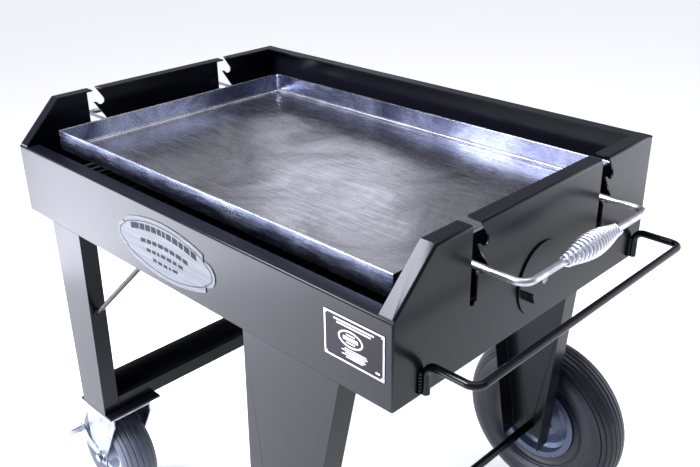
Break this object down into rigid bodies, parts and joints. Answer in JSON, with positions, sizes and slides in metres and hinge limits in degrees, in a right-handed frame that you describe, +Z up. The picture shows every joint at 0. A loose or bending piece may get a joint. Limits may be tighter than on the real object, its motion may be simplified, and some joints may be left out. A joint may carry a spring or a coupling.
{
  "type": "cart griddle",
  "caption": "Flat-bed steel charcoal cart grill with a hanging griddle pan, notched end slots, tow bar, pneumatic wheels and swivel casters.",
  "frame": {"origin": "on the ground, under the middle of the whole object", "axes": "+X along the firebox towards the tow bar and the big wheels' end, -Y to the low front panel, +Z up"},
  "size_m": [1.2645, 1.016, 0.995],
  "materials": {
    "painted_steel": "satin black powder coat",
    "raw_steel": "hot-rolled steel with mill scale, oiled",
    "grate_steel": "plain steel",
    "rod_steel": "bright bar, lightly brushed",
    "grip_coil": "nickel-plated wire",
    "brushed_plate": "brushed stainless",
    "label_black": "printed film",
    "zinc_plate": "bright zinc plate",
    "tyre_rubber": "ribbed pneumatic tyre",
    "rim_paint": "grey-white enamel",
    "caster_rubber": "moulded rubber",
    "caster_core": "grey cast core"
  },
  "bodies": {
    "frame": {"front_panel": "painted_steel", "back_panel": "painted_steel", "left_end_panel": "painted_steel", "right_end_panel": "painted_steel", "firebox_floor": "painted_steel", "grate_rails": "painted_steel", "charcoal_grate": "grate_steel", "damper_bolt": "zinc_plate", "tow_bar": "painted_steel", "tow_bar_welds": "painted_steel", "nameplate": "brushed_plate", "rating_plate": "label_black", "front_wheel_leg": "painted_steel", "back_wheel_leg": "painted_steel", "front_caster_leg": "painted_steel", "back_caster_leg": "painted_steel", "front_brace": "painted_steel", "back_brace": "painted_steel", "caster_rail": "painted_steel", "caster_mount_plates": "painted_steel", "axle": "painted_steel", "axle_washers": "zinc_plate", "cotter_pins": "zinc_plate", "caster_top_plates": "zinc_plate", "caster_plate_bolts": "zinc_plate"},
    "damper": {"damper_disc": "painted_steel"},
    "griddle": {"griddle_pan": "raw_steel", "left_handle_rod": "rod_steel", "right_handle_rod": "rod_steel", "left_coil_grip": "grip_coil", "right_coil_grip": "grip_coil"},
    "front_wheel": {"front_tyre": "tyre_rubber", "front_rim": "rim_paint", "front_hub": "zinc_plate", "front_valve": "tyre_rubber"},
    "front_swivel": {"front_kingpin": "zinc_plate", "front_fork": "zinc_plate", "front_caster_axle": "zinc_plate"},
    "front_roller": {"front_caster_tyre": "caster_rubber", "front_caster_core": "caster_core"},
    "front_brake": {"front_brake_pedal": "zinc_plate"},
    "back_wheel": {"back_tyre": "tyre_rubber", "back_rim": "rim_paint", "back_hub": "zinc_plate", "back_valve": "tyre_rubber"},
    "back_swivel": {"back_kingpin": "zinc_plate", "back_fork": "zinc_plate", "back_caster_axle": "zinc_plate"},
    "back_roller": {"back_caster_tyre": "caster_rubber", "back_caster_core": "caster_core"},
    "back_brake": {"back_brake_pedal": "zinc_plate"}
  },
  "joints": [
    {"name": "griddle_unhook", "type": "slide", "parent": "frame", "child": "griddle", "axis": [0, -0.5382, 0.8428], "range_m": [0, 0.046]},
    {"name": "damper_turn", "type": "hinge", "parent": "frame", "child": "damper", "pos_m": [0.52975, 0.01, 0.836], "axis": [1, 0, 0], "range_deg": [0, 180]},
    {"name": "front_wheel_spin", "type": "hinge", "parent": "frame", "child": "front_wheel", "pos_m": [0.30975, -0.452, 0.206], "axis": [0, 1, 0], "continuous": true},
    {"name": "front_caster_swivel", "type": "hinge", "parent": "frame", "child": "front_swivel", "pos_m": [-0.39225, -0.29, 0.279], "axis": [0, 0, 1], "continuous": true},
    {"name": "front_caster_spin", "type": "hinge", "parent": "front_swivel", "child": "front_roller", "pos_m": [-0.42725, -0.29, 0.127], "axis": [0, 1, 0], "continuous": true},
    {"name": "front_brake_press", "type": "hinge", "parent": "front_swivel", "child": "front_brake", "pos_m": [-0.42725, -0.29, 0.127], "axis": [0, -1, 0], "range_deg": [0, 20]},
    {"name": "back_wheel_spin", "type": "hinge", "parent": "frame", "child": "back_wheel", "pos_m": [0.30975, 0.452, 0.206], "axis": [0, 1, 0], "continuous": true},
    {"name": "back_caster_swivel", "type": "hinge", "parent": "frame", "child": "back_swivel", "pos_m": [-0.39225, 0.29, 0.279], "axis": [0, 0, 1], "continuous": true},
    {"name": "back_caster_spin", "type": "hinge", "parent": "back_swivel", "child": "back_roller", "pos_m": [-0.42725, 0.29, 0.127], "axis": [0, 1, 0], "continuous": true},
    {"name": "back_brake_press", "type": "hinge", "parent": "back_swivel", "child": "back_brake", "pos_m": [-0.42725, 0.29, 0.127], "axis": [0, -1, 0], "range_deg": [0, 20]}
  ]
}
